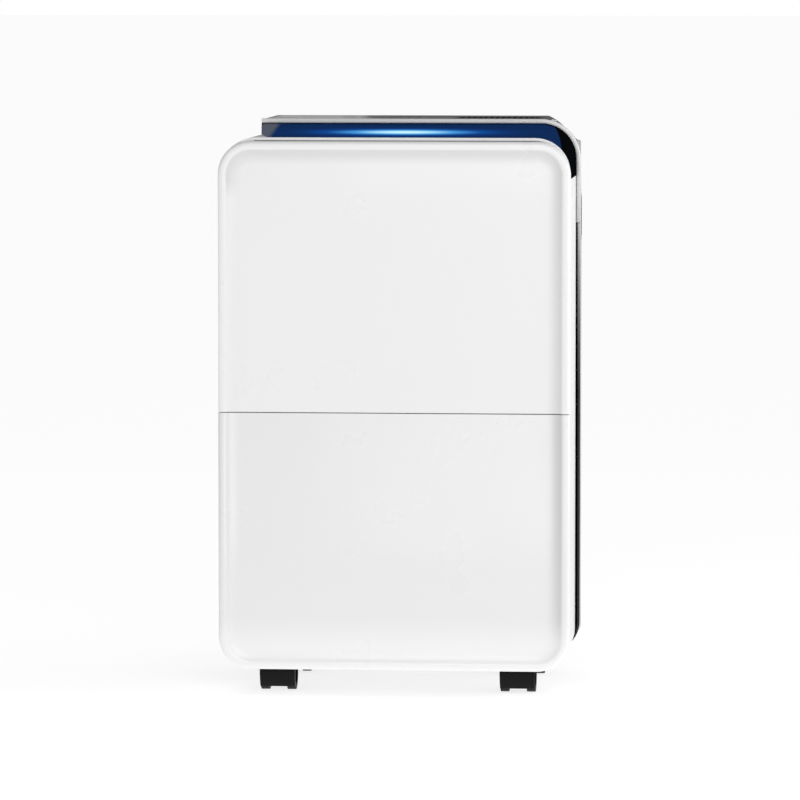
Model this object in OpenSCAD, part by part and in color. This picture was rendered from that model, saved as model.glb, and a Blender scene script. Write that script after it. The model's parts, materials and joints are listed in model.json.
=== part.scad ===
// Portable dehumidifier: front-loading bucket, rear intake, top outlet, four twin-wheel casters.
// X is to the viewer's right, the front faces -Y, +Z is up, and the origin is on the floor
// under the middle of the case. Depths (d) are counted from the front lip towards the back.

/* [Case] */
// Width over the rear shell
shell_w = 360; // [330:1:432]
// Depth from the front lip to the back
depth = 254; // [246:1:300]
// Height of the top deck above the floor
height = 574.5; // [560:0.5:690]
// Wall thickness of the housings
wall = 3; // [2.4:0.1:3.2]
// Assembly gap between fitted housings
gap = 0.3; // [0.2:0.05:0.5]

/* [Front] */
// How far the rear shell stands proud of the front body on each side
rim_proud = 4.5; // [3:0.5:6]
// Height of the lower edge of the front panel above the floor
skirt_z = 27; // [24:1:30]
// How far the top deck stands above the front panel
console_rise = 19.5; // [17:0.5:24]
// Corner radius of the front panel
panel_r = 33; // [28:1:38]
// Width of the raised lip round the front panel
lip_w = 8; // [6:0.5:10]
// Depth of the dished face below the lip
dish = 3; // [2:0.5:4]
// Thickness of the front panel at the lip
panel_t = 8; // [7:0.5:9]
// Height of the seam between the upper cover and the bucket front
seam_z = 284.5; // [276:0.5:292]
// Width of the open seam
seam_gap = 1.5; // [1:0.1:2.5]
// Depth of the white front body
front_depth = 106; // [104:1:110]
// How far the body shoulder stands above the panel
shoulder = 3.5; // [3:0.5:4]

/* [Console] */
// Radius of the console's right shoulder
console_r = 35; // [30:1:38]
// Lower end of the console on the right side, above the floor
wrap_z = 518; // [505:1:524]
// Left end of the console at its front edge, from the middle
console_left_front = 127; // [110:1:132]
// Left end of the console at its rear edge, from the middle
console_left_rear = 143; // [139:1:146]
// Thickness of the smoked display skin
skin_t = 2.2; // [1.8:0.1:2.4]
// Length of the lit display window
display_l = 100; // [80:1:120]
// Depth of the lit display window
display_d = 18; // [12:1:20]
// Travel of a key
key_travel = 1.2; // [0.8:0.1:1.5]
// Diameter of a key
key_dia = 13; // [11:0.5:14]
// Distance between keys
key_pitch = 19; // [17:0.5:20]

/* [Rear] */
// Radius of the upright rear corners
rear_r = 40; // [30:1:44]
// Height of the rear shell's lower edge above the floor
shell_z = 36; // [34:1:38]
// Width of the air inlet
inlet_w = 250; // [220:1:256]
// Height of the air inlet
inlet_h = 210; // [180:1:214]
// Travel of the lift-off filter
filter_travel = 60; // [40:1:100]
// Outside diameter of the drain nozzle
nozzle_dia = 13; // [10:0.5:14]
// Diameter of the bore in the cord gland
cord_bore = 8; // [6:0.5:9]

/* [Bucket] */
// Width of the bucket tub
tub_w = 300; // [250:1:310]
// Height of the bucket tub
tub_h = 155; // [130:1:160]
// Wall of the bucket tub
tub_wall = 2.5; // [2:0.1:3]
// Travel of the bucket out of the case
bucket_travel = 160; // [130:1:170]
// Length of the carrying bail's arms
bail_len = 46; // [36:1:48]

/* [Fan and coils] */
// Radius of the fan scroll
scroll_r = 105; // [90:1:106]
// Depth of the fan scroll
scroll_d = 70; // [60:1:71]
// Radius of the fan impeller
impeller_r = 82; // [70:1:86]
// Number of impeller blades
blades = 30; // [20:1:36]
// Width of the fin stacks
coil_w = 235; // [200:1:236]
// Height of the fin stacks
coil_h = 220; // [190:1:224]
// Thickness of each coil
coil_t = 20; // [16:1:20]
// Diameter of the coil tubes
tube_dia = 8; // [6:0.5:9]
// Radius of the compressor can
comp_r = 47; // [38:1:47]

/* [Casters] */
// Distance of the casters from the middle
caster_x = 121; // [110:1:122]
// Depth of the front casters' stems
caster_front = 50; // [46:1:54]
// Depth of the rear casters' stems
caster_rear = 202; // [190:1:204]
// Radius of the caster wheels
wheel_r = 17.5; // [14.5:0.5:18]
// Width of each wheel
wheel_w = 8.5; // [7:0.5:9]
// Gap between the twin wheels
wheel_gap = 18; // [15:0.5:19]
// Trail of the wheel axle behind the stem
trail = 11; // [8:0.5:12]
// Diameter of the swivel stem
stem_dia = 10; // [8:0.5:12]
// Radial clearance of shafts and pins
run = 0.05; // [0.03:0.01:0.08]

/* [Hidden] */
$fn = 64;
eps = 0.01;
big = 1000;
fit = 2 * run;

// Case outlines, seen from the front
rim_x = shell_w / 2;
body_x = rim_x - rim_proud - 0.2;
panel_x = body_x + 0.5;
panel_top = height - console_rise;
body_top = panel_top + shoulder;
console_top = height - rim_proud - 0.2;
rim_d = front_depth + gap;
rim_t = 7;
rim_low_top = panel_top - 2;
shoulder_r = 38;
rim_r = console_r + rim_proud;
bottom_r = 30;
open_x = caster_x + 37;
trim_end_z = height - 104;
trim_d1 = rim_d + 4;

// Console wedge
cons_d0 = panel_t + 2 + gap;
cons_d1 = front_depth - gap;
cons_front_z = body_top + 0.6;
notch_x = body_x - console_r;
tray_x0 = -console_left_front + skin_t + 2;
tray_x1 = notch_x - 3;
tray_d0 = cons_d0 + 4;
tray_d1 = cons_d1 - 4;
tray_z0 = body_top - 12;
disp_x = 7;
disp_d = 55;

// Top deck
deck_d0 = trim_d1 + 4;
deck_d1 = depth - 30;
deck_x0 = -console_left_rear + 8;
deck_x1 = body_x - 25;
key_d = 165;
key_x0 = -59;
key_stem_r = 2.5;
key_h = wall + 1.2;
KEYS = ["key_power", "key_mode", "key_fan", "key_up", "key_down"];

// Floor, bucket and chassis
pan_z = shell_z + wall + 2 + gap;
pan_top = pan_z + wall;
pan_wall_z = pan_z + 34;
pan_d1 = depth - wall - gap;
boss_h = 16;
rail_h = boss_h + 1;
tub_z = pan_top + rail_h + gap;
tub_top = tub_z + tub_h;
tub_d0 = panel_t + gap;
tub_d1 = 134;
tub_x = tub_w / 2;
bulk_d = tub_d1 + 3;
deck_z = seam_z + 2;
lid_t = 2.5;
lug_x = tub_x - 14;
lug_t = 5;
bail_d = 71;
bail_r = 3.5;
bail_z = tub_top + lid_t + gap + bail_r + 2.5;
pin_r = 3;
float_d = 116;
float_z = tub_top - 22;
float_x = tub_x - 38;
drip_d = 70;
drip_r = 6;

// Air path
fan_x = 35;
fan_z = deck_z + 24 + scroll_r;
scroll_d0 = 112;
scroll_d1 = scroll_d0 + scroll_d;
duct_x1 = fan_x + scroll_r;
duct_x0 = duct_x1 - 90;
duct_wall = 2.5;
inlet_z = height - 50 - inlet_h;
coil_x0 = -130;
coil_z = deck_z + 16;
cond_d = scroll_d1 + 4;
evap_d = cond_d + coil_t + 5;
tube_pitch = coil_h / 7;
bend_r = 12;
socket_l = 3;
socket_r = tube_dia / 2 + 0.6;
vane_z = height - 13.5;
vane_w = 16;
vane_pitch = 19;
vane_d0 = scroll_d0 + 16;
vane_t = 1.6;
shaft_r = 3;
comp_x = -45;
comp_d = depth - wall - 9 - comp_r;

// Handles
grip_d0 = 138;
grip_d1 = 212;
grip_z = height - 122;
grip_h = 40;
grip_in = 20;

// ---- helpers ----

// Y of a depth counted from the front lip
function at(d) = d - depth / 2;

// Rectangle with its own radius at each corner: lower left, lower right, upper right, upper left
module corners(x0, x1, z0, z1, r) {
  rs = is_list(r) ? r : [r, r, r, r];
  difference() {
    translate([x0, z0]) square([x1 - x0, z1 - z0]);
    translate([x0 - 1, z0 - 1]) square(rs[0] + 1);
    translate([x1 - rs[1], z0 - 1]) square(rs[1] + 1);
    translate([x1 - rs[2], z1 - rs[2]]) square(rs[2] + 1);
    translate([x0 - 1, z1 - rs[3]]) square(rs[3] + 1);
  }
  translate([x0 + rs[0], z0 + rs[0]]) circle(rs[0]);
  translate([x1 - rs[1], z0 + rs[1]]) circle(rs[1]);
  translate([x1 - rs[2], z1 - rs[2]]) circle(rs[2]);
  translate([x0 + rs[3], z1 - rs[3]]) circle(rs[3]);
}

// Extrudes a front-view outline from depth d0 to d1
module slab(d0, d1) {
  translate([0, at(d1), 0]) rotate([90, 0, 0]) linear_extrude(d1 - d0) children();
}

// Extrudes a side-view outline (depth, height) from x0 to x1
module across(x0, x1) {
  translate([x0, -depth / 2, 0]) rotate([90, 0, 90]) linear_extrude(x1 - x0) children();
}

// Box given by its faces
module block(x0, x1, d0, d1, z0, z1) {
  translate([x0, at(d0), z0]) cube([x1 - x0, d1 - d0, z1 - z0]);
}

// Rod along X, Y or Z, from its start point
module rod_x(x0, x1, d, z, r) {
  translate([x0, at(d), z]) rotate([0, 90, 0]) cylinder(h = x1 - x0, r = r);
}
module rod_y(x, d0, d1, z, r) {
  translate([x, at(d1), z]) rotate([90, 0, 0]) cylinder(h = d1 - d0, r = r);
}
module rod_z(x, d, z0, z1, r) {
  translate([x, at(d), z0]) cylinder(h = z1 - z0, r = r);
}

// ---- outlines ----

module panel_outline(i = 0) {
  corners(-panel_x + i, panel_x - i, skirt_z + i, panel_top - i, panel_r - i);
}

module body_outline(i = 0) {
  corners(-body_x + i, body_x - i, skirt_z + i, body_top - i,
    [panel_r - i, panel_r - i, console_r - i, shoulder_r - i]);
}

module console_outline(i = 0) {
  corners(-rim_x, body_x - i, skirt_z, console_top - i,
    [1, 1, console_r - i, 1]);
}

// Rear shell seen from the front: low left shoulder, raised right part
module shell_outline(i = 0) {
  corners(-rim_x + i, rim_x - i, shell_z + i, rim_low_top - i,
    [bottom_r - i, bottom_r - i, 1, shoulder_r - i]);
  corners(-console_left_rear + i, rim_x - i, height / 2, height - i,
    [1, 1, rim_r - i, 4]);
}

// Rear shell seen from above: sides draw in, upright rear corners are round
module shell_plan(i = 0) {
  xr = rim_x - rim_proud - i;
  y1 = depth / 2 - i;
  yr = y1 - rear_r + i;
  polygon([[-rim_x + i, at(0)], [rim_x - i, at(0)], [rim_x - i, at(rim_d + rim_t)], [xr, yr],
    [xr - rear_r + i, yr], [xr - rear_r + i, y1], [-xr + rear_r - i, y1],
    [-xr + rear_r - i, yr], [-xr, yr], [-rim_x + i, at(rim_d + rim_t)]]);
  for (s = [-1, 1]) translate([s * (xr - rear_r + i), yr]) circle(rear_r - i);
}

// Rear shell seen from the side, in depth and height, with round top and bottom rear edges
module shell_side(i = 0) {
  corners(-20, depth - i, shell_z - 10 + i, height - i, [1, 14 - i, 24 - i, 1]);
}

// Height of the console's sloping face, in depth and height, lowered by i
module wedge_side(i = 0) {
  polygon([[0, 0], [cons_d1 + 1, 0], [cons_d1 + 1, console_top - i],
    [cons_d1, console_top - i], [cons_d0, cons_front_z - i], [0, cons_front_z - i - 1]]);
}

// ---- front ----

module panel_part(z0, z1) {
  intersection() {
    difference() {
      slab(0, panel_t) panel_outline();
      slab(-1, dish) panel_outline(lip_w);
    }
    block(-big, big, -1, panel_t + 1, z0, z1);
  }
}

module upper_front_cover() {
  color("white") panel_part(seam_z + seam_gap / 2, big);
}

module bucket_front() {
  color("white") difference() {
    panel_part(0, seam_z - seam_gap / 2);
    block(-60, 60, dish + 2.5, panel_t + 1, skirt_z - 1, skirt_z + 15);
  }
}

module front_body() {
  color("white") difference() {
    slab(panel_t, front_depth) body_outline();
    slab(panel_t - 1, front_depth + 1) body_outline(wall);
    block(-open_x, open_x, panel_t - 1, front_depth + 1, 0, pan_top);
    block(notch_x, big, cons_d0 - gap, front_depth + 1, wrap_z - gap, big);
    block(tray_x0 - gap, tray_x1 + gap, tray_d0 - gap, tray_d1 + gap, body_top - 2 * wall, big);
  }
}

module trim_ring() {
  color("silver") difference() {
    intersection() {
      slab(rim_d, trim_d1 - gap) shell_outline();
      block(-big, big, 0, depth, trim_end_z, big);
    }
    slab(0, depth) corners(-big, rim_x - rim_proud, 0, height - rim_proud,
      [1, 1, console_r, 1]);
    block(-big, -console_left_rear, 0, depth, 0, big);
  }
}

// ---- console ----

module console_solid(i) {
  intersection() {
    slab(cons_d0 + i, cons_d1) intersection() {
      console_outline(i);
      union() {
        translate([-big, body_top + gap]) square(2 * big);
        translate([notch_x + gap, wrap_z + (i > 0 ? -1 : 0)]) square(2 * big);
      }
    }
    across(-rim_x, rim_x) wedge_side(i);
    linear_extrude(big) polygon([[-console_left_front + i, at(cons_d0)],
      [-console_left_rear + i, at(cons_d1)], [rim_x, at(cons_d1)], [rim_x, at(cons_d0)]]);
  }
}

module display_skin() {
  color([0.06, 0.1, 0.16]) difference() {
    console_solid(0);
    console_solid(skin_t);
    block(-big, notch_x + gap + eps, cons_d0 + skin_t, cons_d1 + 1, 0, body_top + gap);
  }
}

module console_tray() {
  color([0.15, 0.15, 0.16]) difference() {
    block(tray_x0, tray_x1, tray_d0, tray_d1, tray_z0, body_top);
    block(tray_x0 + 2, tray_x1 - 2, tray_d0 + 2, tray_d1 - 2, tray_z0 + 2, big);
  }
}

module display_board() {
  color("green") block(tray_x0 + 3, tray_x1 - 3, tray_d0 + 3, tray_d1 - 3,
    tray_z0 + 2 + gap, tray_z0 + 4);
}

module light_guide() {
  color([0.7, 0.95, 1]) block(disp_x - display_l / 2, disp_x + display_l / 2,
    disp_d - display_d / 2, disp_d + display_d / 2, tray_z0 + 4 + gap, body_top + 0.8);
}

// ---- top deck ----

function key_x(i) = key_x0 + i * key_pitch;

module top_deck() {
  color([0.1, 0.1, 0.11]) difference() {
    block(deck_x0, deck_x1, deck_d0, deck_d1, height - wall, height);
    for (i = [0 : len(KEYS) - 1]) rod_z(key_x(i), key_d, 0, big, key_dia / 2 + gap);
    block(duct_x0 - gap, duct_x1 + gap, scroll_d0 + 4 - gap, scroll_d1 + gap, 0, big);
  }
  // Key shelf hung under the deck
  color([0.1, 0.1, 0.11]) difference() {
    block(key_x(0) - key_pitch, key_x(4) + key_pitch, key_d - 12, key_d + 12,
      height - wall - 9, height - wall + eps);
    block(key_x(0) - key_pitch + 2, key_x(4) + key_pitch - 2, key_d - 10, key_d + 10,
      height - wall - 7, height);
    for (i = [0 : len(KEYS) - 1]) rod_z(key_x(i), key_d, 0, big, key_stem_r + run);
  }
}

module key(i) {
  color([0.2, 0.2, 0.22]) {
    rod_z(key_x(i), key_d, height - key_h, height, key_dia / 2);
    rod_z(key_x(i), key_d, height - wall - 9, height - key_h + eps, key_stem_r);
  }
}

module key_power() { key(0); }
module key_mode() { key(1); }
module key_fan() { key(2); }
module key_up() { key(3); }
module key_down() { key(4); }

module outlet_grille() {
  bars = 14;
  x0 = duct_x0;
  x1 = duct_x1;
  d0 = scroll_d0 + 4;
  d1 = scroll_d1;
  frame = 4;
  pitch = (x1 - x0 - 2 * frame) / bars;
  color([0.08, 0.08, 0.09]) {
    difference() {
      block(x0, x1, d0, d1, height - wall, height);
      block(x0 + frame, x1 - frame, d0 + frame, d1 - frame, 0, big);
    }
    for (i = [1 : bars - 1])
      block(x0 + frame + i * pitch - 1, x0 + frame + i * pitch + 1, d0 + 1, d1 - 1,
        height - wall + 0.4, height - 0.4);
    block(x0 + 1, x1 - 1, (d0 + d1) / 2 - 1.5, (d0 + d1) / 2 + 1.5,
      height - wall + 0.6, height - 0.6);
  }
}

module louver(i) {
  d = vane_d0 + i * vane_pitch;
  color([0.12, 0.12, 0.13]) {
    block(duct_x0 + duct_wall + gap, duct_x1 - duct_wall - gap, d - vane_t / 2, d + vane_t / 2,
      vane_z - vane_w / 2, vane_z + vane_w / 2);
    rod_x(duct_x0 + eps, duct_x1 - eps, d, vane_z, 1.5);
  }
}

module louver_1() { louver(0); }
module louver_2() { louver(1); }
module louver_3() { louver(2); }

// ---- rear ----

module shell_solid(i) {
  intersection() {
    slab(i > 0 ? rim_d - 1 : rim_d, depth - i) shell_outline(i);
    linear_extrude(big) shell_plan(i);
    across(-rim_x, rim_x) shell_side(i);
  }
}

module rear_shell() {
  color([0.05, 0.05, 0.06]) difference() {
    shell_solid(0);
    shell_solid(wall);
    slab(rim_d - 1, trim_d1) intersection() {
      translate([-console_left_rear - gap, trim_end_z - gap]) square(2 * big);
      difference() {
        translate([-big, 0]) square(2 * big);
        corners(-big, rim_x - rim_proud - gap, 0, height - rim_proud - gap,
          [1, 1, console_r - gap, 1]);
      }
    }
    block(-open_x, open_x, rim_d + rim_t, depth - 2 * wall, 0, pan_z + 1);
    block(-open_x, open_x, rim_d - 1, rim_d + rim_t + 1, 0, pan_z + 1);
    block(deck_x0 - gap, deck_x1 + gap, deck_d0 - gap, deck_d1 + gap, height - wall - 1, big);
    slab(depth - wall - 1, depth + 1) corners(-inlet_w / 2, inlet_w / 2, inlet_z,
      inlet_z + inlet_h, 8);
    for (s = [-1, 1]) block(s > 0 ? rim_x - 12 : -rim_x - 1, s > 0 ? rim_x + 1 : -rim_x + 12,
      grip_d0 - gap, grip_d1 + gap, grip_z - gap, grip_z + grip_h + gap);
    rod_y(nozzle_x, depth - wall - 1, depth + 1, nozzle_z, nozzle_cup_r);
    rod_y(-nozzle_x, depth - wall - 1, depth + 1, nozzle_z, gland_r + gap);
    for (p = SCREWS) rod_y(p[0], depth - wall - 1, depth + 1, p[1], 2.1);
    for (p = SCREWS) rod_y(p[0], depth - 2, depth + 1, p[1], 4.3);
  }
}

SCREWS = [for (x = [-128, 128], z = [62, 180, 296, height - 34]) [x, z]];
nozzle_x = 104;
nozzle_z = 112;
nozzle_cup_r = 18;
gland_r = 10;

module rear_screws() {
  color("dimgray") for (p = SCREWS) {
    rod_y(p[0], depth - 1.9, depth - 0.2, p[1], 4);
    rod_y(p[0], depth - 10, depth - 1.9 + eps, p[1], 1.9);
  }
}

module inlet_grille() {
  x = inlet_w / 2 + 7;
  z0 = inlet_z - 7;
  z1 = inlet_z + inlet_h + 7;
  d0 = depth - 18;
  d1 = depth - wall - gap;
  cols = 20;
  rows = 8;
  px = inlet_w / cols;
  pz = inlet_h / rows;
  color([0.07, 0.07, 0.08]) {
    difference() {
      block(-x, x, d0, d1, z0, z1);
      block(-inlet_w / 2 - eps, inlet_w / 2 + eps, d0 - 1, d1 + 1, inlet_z - eps,
        inlet_z + inlet_h + eps);
    }
    for (i = [1 : cols - 1])
      block(-inlet_w / 2 + i * px - 1, -inlet_w / 2 + i * px + 1, d0, d0 + 3,
        z0 + 1, z1 - 1);
    for (i = [1 : rows - 1])
      block(-x + 1, x - 1, d0 + 0.5, d0 + 2.5, inlet_z + i * pz - 1, inlet_z + i * pz + 1);
  }
}

filter_d0 = depth - 11;
filter_d1 = depth - 0.6;

module filter_frame() {
  w = inlet_w / 2 - 2 * gap;
  z0 = inlet_z + 2 * gap;
  z1 = inlet_z + inlet_h - 2 * gap;
  rib = 6;
  color([0.25, 0.25, 0.27]) {
    difference() {
      slab(filter_d0, filter_d1) corners(-w, w, z0, z1, 7);
      for (i = [0 : 3], j = [0 : 2]) {
        cw = (2 * w - 5 * rib) / 4;
        ch = (z1 - z0 - 4 * rib) / 3;
        x = -w + rib + i * (cw + rib);
        z = z0 + rib + j * (ch + rib);
        block(x, x + cw, filter_d0 - 1, filter_d1 + 1, z, z + ch);
      }
      block(-28, 28, filter_d1 - 5, filter_d1 + 1, z1 - rib + 1.5, z1 + 1);
    }
  }
}

module filter_mesh() {
  w = inlet_w / 2 - 2 * gap;
  z0 = inlet_z + 2 * gap;
  z1 = inlet_z + inlet_h - 2 * gap;
  color("gray") block(-w + 2, w - 2, filter_d0 - 0.8, filter_d0 - gap, z0 + 2, z1 - 2);
}

// Finger cup let into one side of the rear shell
module grip(s) {
  x0 = rim_x - rim_proud - grip_in;
  color([0.05, 0.05, 0.06]) mirror([s < 0 ? 1 : 0, 0, 0]) intersection() {
    difference() {
      block(x0, rim_x + 1, grip_d0, grip_d1, grip_z, grip_z + grip_h);
      block(x0 + wall, rim_x + 2, grip_d0 + wall, grip_d1 - wall, grip_z + wall,
        grip_z + grip_h - wall);
    }
    linear_extrude(big) shell_plan();
  }
}

module grip_left() { grip(-1); }
module grip_right() { grip(1); }

module drain_nozzle() {
  r = nozzle_dia / 2;
  d0 = depth - 34;
  color([0.1, 0.1, 0.11]) difference() {
    rod_y(nozzle_x, d0, depth - wall - gap, nozzle_z, nozzle_cup_r + 4);
    rod_y(nozzle_x, d0 + wall, depth, nozzle_z, nozzle_cup_r);
    rod_y(nozzle_x, d0 - 1, depth, nozzle_z, r - 2);
  }
  color([0.1, 0.1, 0.11]) difference() {
    rod_y(nozzle_x, d0 + eps, depth - 4, nozzle_z, r);
    rod_y(nozzle_x, d0 - 1, depth, nozzle_z, r - 2);
  }
}

module cord_gland() {
  color([0.1, 0.1, 0.11]) difference() {
    union() {
      rod_y(-nozzle_x, depth - 12, depth - 1, nozzle_z, gland_r);
      rod_y(-nozzle_x, depth - 12, depth - wall - gap, nozzle_z, gland_r + 3);
    }
    rod_y(-nozzle_x, depth - 13, depth, nozzle_z, cord_bore / 2);
  }
}

// ---- inside ----

module pan_outline(i = 0) {
  intersection() {
    body_outline(wall + gap + i);
    corners(-rim_x + rim_proud + wall + 1 + i, rim_x - rim_proud - wall - 1 - i,
      shell_z + wall + gap + i, big, bottom_r - wall - gap - i);
    translate([-big, pan_z + i]) square([2 * big, pan_wall_z - pan_z - i]);
  }
}

CASTERS = [[-caster_x, caster_front], [caster_x, caster_front], [-caster_x, caster_rear],
  [caster_x, caster_rear]];

module base_pan() {
  color([0.3, 0.3, 0.32]) difference() {
    union() {
      intersection() {
        difference() {
          slab(panel_t + 4, pan_d1) pan_outline();
          slab(panel_t + 3, pan_d1 - wall) pan_outline(wall);
          block(-big, big, panel_t + 3, panel_t + 4 + wall, pan_top, big);
        }
        linear_extrude(big) shell_plan(wall + 2 * gap);
      }
      for (c = CASTERS) rod_z(c[0], c[1], pan_z + 1, pan_top + boss_h, stem_dia / 2 + 5);
      for (s = [-1, 1]) block(s * 70 - 4, s * 70 + 4, panel_t + 8, tub_d1, pan_top - 1,
        pan_top + rail_h);
    }
    for (p = SCREWS) rod_y(p[0], pan_d1 - 12, depth, p[1], 2.1);
    for (c = CASTERS) rod_z(c[0], c[1], 0, pan_top + boss_h - 2, stem_dia / 2 + run);
  }
}

module chassis() {
  x = body_x - wall - 3;
  color([0.45, 0.45, 0.47]) difference() {
    union() {
      block(-x, x, panel_t + 8, depth - 44, deck_z, deck_z + wall);
      block(-x + 20, x - 20, bulk_d, bulk_d + wall, pan_top + gap, deck_z + 1);
    }
    rod_z(0, drip_d, 0, big, drip_r + 1);
    block(comp_x - 20, comp_x + 20, comp_d - 14, comp_d + 14, deck_z - 1, deck_z + wall + 1);
    block(pipe_x - 12, pipe_x + 12, cond_d - 8, evap_d + coil_t + 2, deck_z - 1, deck_z + wall + 1);
    rod_y(switch_x, 0, depth, switch_z, 2 + 2 * gap);
  }
}

module drip_tray() {
  x0 = coil_x0 - 12;
  x1 = coil_x0 + coil_w + 10;
  d0 = cond_d - 3;
  d1 = evap_d + coil_t + 3;
  z0 = deck_z + wall + gap;
  z1 = coil_z + 4;
  color([0.8, 0.8, 0.82]) difference() {
    union() {
      block(x0, x1, d0, d1, z0, z1);
      block(-10, 10, drip_d - 12, d0 + 1, z0, z0 + 8);
      rod_z(0, drip_d, deck_z - 8, z0 + 1, drip_r);
    }
    block(x0 + 2, x1 - 2, d0 + 2, d1 - 2, coil_z - gap, big);
    block(-8, 8, drip_d - 10, d0 + 3, z0 + 2, big);
    block(x0 + 2, x1 - 2, d0 + 2, d0 + 4, z0 + 4, big);
    rod_z(0, drip_d, 0, big, drip_r - 2);
  }
}

pipe_x = coil_x0 + coil_w + 22;
fins = 24;

function tube_z(k) = coil_z + tube_pitch * (k + 0.5);

module fin_stack(d) {
  step = coil_w / fins;
  for (i = [0 : fins - 1]) across(coil_x0 + i * step, coil_x0 + i * step + 0.6) difference() {
    translate([d, coil_z]) square([coil_t, coil_h]);
    for (k = [0 : 6]) translate([d + coil_t / 2, tube_z(k)]) circle(tube_dia / 2 + run);
  }
}

// One serpentine tube, its return bends set into short expanded sockets
module serpentine(d) {
  x0 = coil_x0 - 4;
  x1 = coil_x0 + coil_w + 3;
  r = tube_pitch / 2;
  y = d + coil_t / 2;
  for (k = [0 : 6]) rod_x(x0 + 1, x1 - 1, y, tube_z(k), tube_dia / 2);
  for (k = [0 : 5]) {
    right = k % 2 == 0;
    for (z = [tube_z(k), tube_z(k + 1)])
      rod_x(right ? x1 - socket_l : x0, right ? x1 : x0 + socket_l, y, z, socket_r);
    translate([right ? x1 : x0, at(y), tube_z(k) + r])
      rotate([90, 0, 0]) rotate([0, 0, right ? -90 : 90])
        rotate_extrude(angle = 180) translate([r, 0]) circle(tube_dia / 2);
  }
  // Stub that leads to the refrigerant lines
  rod_x(x1 - 2, pipe_x - bend_r, y, tube_z(6), tube_dia / 2);
  bend(pipe_x - bend_r, y, tube_z(6) - bend_r, 0);
  rod_z(pipe_x, y, line_z + bend_r, tube_z(6) - bend_r, tube_dia / 2);
}

// Quarter bend of a tube about a centre, starting at an angle from +X towards +Z
module bend(x, d, z, start) {
  translate([x, at(d), z]) rotate([90, 0, 0]) rotate([0, 0, start])
    rotate_extrude(angle = 90) translate([bend_r, 0]) circle(tube_dia / 2);
}

line_z = deck_z - 30;

module evaporator_fins() {
  color("lightgray") fin_stack(evap_d);
}

module condenser_fins() {
  color("silver") fin_stack(cond_d);
}

// The coil's tube and the line that runs down to the compressor's side
module line(d, x_end, z_end) {
  y = d + coil_t / 2;
  bend(pipe_x - bend_r, y, line_z + bend_r, -90);
  rod_x(x_end + bend_r, pipe_x - bend_r, y, line_z, tube_dia / 2);
  bend(x_end + bend_r, y, line_z - bend_r, 90);
  rod_z(x_end, y, z_end, line_z - bend_r, tube_dia / 2);
}

module evaporator_tube() {
  color("peru") {
    serpentine(evap_d);
    line(evap_d, acc_x, acc_top + gap);
  }
}

module condenser_tube() {
  color("peru") {
    serpentine(cond_d);
    line(cond_d, comp_x, comp_top + gap);
  }
}

comp_z = pan_top + 16;
comp_top = comp_z + 150;
acc_x = comp_x + comp_r + 24;
acc_r = 16;
acc_top = comp_z + 120;

module compressor() {
  color([0.08, 0.08, 0.09]) {
    rod_z(comp_x, comp_d, comp_z, comp_top - 12, comp_r);
    rod_z(comp_x, comp_d, comp_top - 12 - eps, comp_top - 5, comp_r - 6);
    rod_z(comp_x, comp_d, comp_top - 5 - eps, comp_top, comp_r - 18);
    difference() {
      rod_z(comp_x, comp_d, comp_z - 3, comp_z + eps, comp_r + 2);
      for (a = [0 : 2]) foot_at(a) translate([0, 0, -big / 2]) cylinder(h = big, r = 3.3);
    }
  }
}

module foot_at(a) {
  translate([comp_x, at(comp_d), 0]) rotate([0, 0, a * 120 + 90]) translate([comp_r - 8, 0, 0])
    children();
}

module compressor_feet() {
  color([0.05, 0.05, 0.05]) for (a = [0 : 2]) foot_at(a)
    translate([0, 0, pan_top + gap]) cylinder(h = comp_z - 3 - pan_top - 2 * gap, r = 8);
}

module accumulator() {
  color([0.08, 0.08, 0.09]) {
    rod_z(acc_x, evap_d + coil_t / 2, comp_z + 20, acc_top, acc_r);
    block(comp_x + comp_r - 1 + 1 + gap, acc_x, comp_d - 5, comp_d + 5, comp_z + 60, comp_z + 70);
  }
}

// ---- fan ----

module fan_scroll() {
  color([0.6, 0.6, 0.62]) difference() {
    slab(scroll_d0, scroll_d1) scroll_outline(0);
    slab(scroll_d0 + duct_wall, scroll_d1 - duct_wall) scroll_outline(duct_wall);
    rod_y(fan_x, scroll_d1 - 4, scroll_d1 + 1, fan_z, impeller_r - 14);
    rod_y(fan_x, scroll_d0 - 1, scroll_d0 + 4, fan_z, 16);
    block(duct_x0 + duct_wall, duct_x1 - duct_wall, scroll_d0 + duct_wall,
      scroll_d1 - duct_wall, fan_z + scroll_r, big);
    for (i = [0 : 2]) rod_x(0, big, vane_d0 + i * vane_pitch, vane_z, 1.5 + run);
  }
}

module scroll_outline(i) {
  translate([fan_x, fan_z]) circle(scroll_r - i);
  translate([duct_x0 + i, fan_z]) square([duct_x1 - duct_x0 - 2 * i, height - wall - gap - fan_z]);
}

module fan_impeller() {
  d0 = scroll_d0 + 8;
  d1 = scroll_d1 - 8;
  color([0.2, 0.2, 0.22]) {
    difference() {
      union() {
        rod_y(fan_x, d0, d0 + 2, fan_z, impeller_r);
        rod_y(fan_x, d0, d0 + 26, fan_z, 12);
      }
      rod_y(fan_x, d0 - 1, d0 + 30, fan_z, shaft_r + run);
    }
    difference() {
      rod_y(fan_x, d1 - 3, d1, fan_z, impeller_r);
      rod_y(fan_x, d1 - 4, d1 + 1, fan_z, impeller_r - 4);
    }
    for (k = [0 : blades - 1]) translate([fan_x, at(d0), fan_z]) rotate([0, k * 360 / blades, 0])
      translate([impeller_r - 14, 1, -0.6]) cube([13, d1 - d0 - 2, 1.2]);
  }
}

module fan_motor() {
  color("gray") {
    rod_y(fan_x, scroll_d0 - 46, scroll_d0 - 8, fan_z, 36);
    rod_y(fan_x, scroll_d0 - 8 - eps, scroll_d0 + 30, fan_z, shaft_r);
  }
}

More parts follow.
